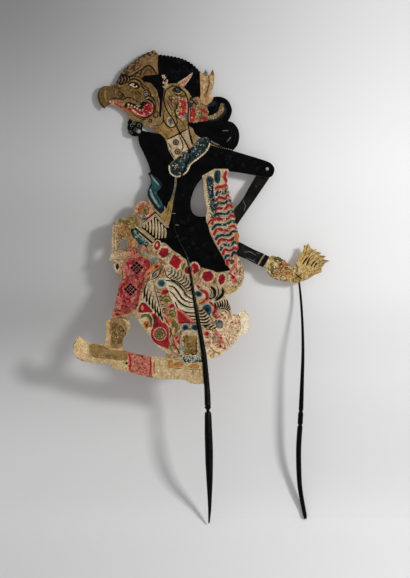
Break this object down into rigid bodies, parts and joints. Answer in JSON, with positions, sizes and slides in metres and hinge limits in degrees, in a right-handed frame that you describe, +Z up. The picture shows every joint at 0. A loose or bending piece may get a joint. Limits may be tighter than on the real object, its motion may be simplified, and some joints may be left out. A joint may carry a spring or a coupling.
{
  "type": "shadow puppet",
  "caption": "Flat pierced leather puppet figure held in the slit of a pointed main rod, with one arm hinged at shoulder and elbow and a second rod tied to the hand.",
  "frame": {"origin": "the pointed tip of the main rod", "axes": "+Z up along the main rod to the head; the hide lies in the XZ plane with its painted front towards -Y; the figure faces -X"},
  "size_m": [0.3808, 0.0315, 0.6997],
  "materials": {
    "painted_hide": "painted and pierced parchment, satin, worn",
    "black_hide": "black painted hide, satin, scuffed",
    "gilt_hide": "dull gold paint on hide",
    "horn": "polished black buffalo horn",
    "bone": "polished bone",
    "washer_hide": "raw brown hide",
    "pale_thread": "undyed twisted cotton",
    "dark_thread": "dark twisted cotton"
  },
  "bodies": {
    "figure": {"hide_body": "painted_hide", "main_rod": "horn", "foot_tie": "dark_thread", "hem_tie": "dark_thread", "knee_tie": "dark_thread", "hip_tie": "pale_thread", "belt_tie": "dark_thread", "waist_tie": "pale_thread", "chest_tie": "dark_thread", "neck_tie": "dark_thread", "cheek_tie": "dark_thread", "crown_tie": "dark_thread", "ear_tie": "dark_thread", "nape_tie": "dark_thread", "shoulder_peg": "bone", "shoulder_spacer": "washer_hide", "shoulder_washer": "washer_hide"},
    "upper_arm": {"upper_arm": "black_hide", "elbow_peg": "bone", "elbow_washer": "washer_hide"},
    "forearm": {"forearm_hand": "gilt_hide"},
    "hand_thread": {"hand_tie": "dark_thread"},
    "hand_rod": {"hand_rod": "horn"}
  },
  "joints": [
    {"name": "shoulder", "type": "hinge", "parent": "figure", "child": "upper_arm", "pos_m": [0.086, 0.005, 0.524], "axis": [0, 1, 0], "continuous": true},
    {"name": "elbow", "type": "hinge", "parent": "upper_arm", "child": "forearm", "pos_m": [0.01399, 0.007, 0.42], "axis": [0, 1, 0], "range_deg": [-50, 255]},
    {"name": "hand_swing", "type": "hinge", "parent": "forearm", "child": "hand_thread", "pos_m": [0.1329, 0.007, 0.36505], "axis": [0, 1, 0], "range_deg": [-220, 100]},
    {"name": "rod_tilt", "type": "hinge", "parent": "hand_thread", "child": "hand_rod", "pos_m": [0.1329, 0.0113, 0.36505], "axis": [1, 0, 0], "range_deg": [0, 35]}
  ]
}
